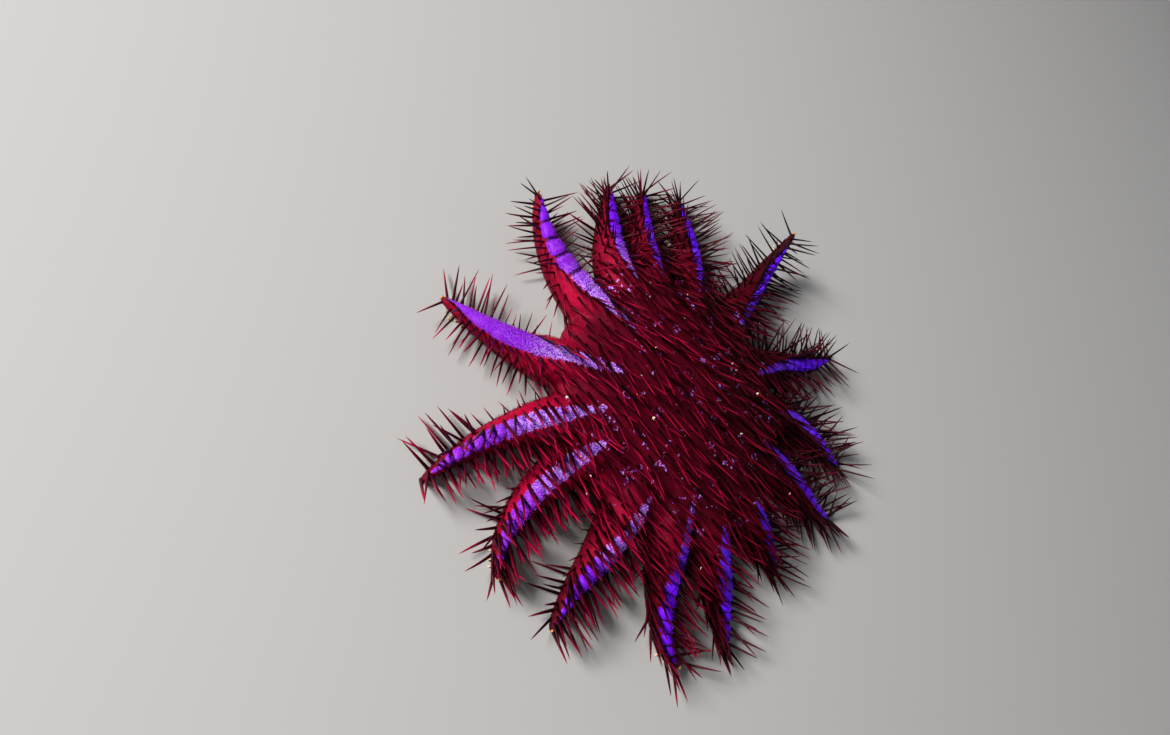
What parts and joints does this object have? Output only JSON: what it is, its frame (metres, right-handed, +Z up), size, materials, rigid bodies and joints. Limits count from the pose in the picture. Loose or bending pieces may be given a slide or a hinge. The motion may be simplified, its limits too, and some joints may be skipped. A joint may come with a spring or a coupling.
{
  "type": "crown of thorns starfish model",
  "caption": "Life-size starfish with a low domed disc, tapering arms with curled tips, and long slender spines that lie over to one side.",
  "frame": {"origin": "on the floor under the middle of the bounding box", "axes": "+Z up out of the star's back; the arms are spread in the XY plane, and the picture was taken from the -Y side, from above"},
  "size_m": [0.3386, 0.3674, 0.0734],
  "materials": {
    "disc_flesh": "deep crimson velvety skin with scattered violet specks",
    "arm_flesh": "deep crimson velvety skin with a vivid violet band along each arm",
    "mouth_flesh": "pale soft membrane round the mouth"
  },
  "bodies": {
    "root": {"disc": "disc_flesh", "arm_01": "arm_flesh", "arm_02": "arm_flesh", "arm_03": "arm_flesh", "arm_04": "arm_flesh", "arm_05": "arm_flesh", "arm_06": "arm_flesh", "arm_07": "arm_flesh", "arm_08": "arm_flesh", "arm_09": "arm_flesh", "arm_10": "arm_flesh", "arm_11": "arm_flesh", "arm_12": "arm_flesh", "arm_13": "arm_flesh", "arm_14": "arm_flesh", "arm_15": "arm_flesh", "mouth": "mouth_flesh"}
  },
  "joints": []
}
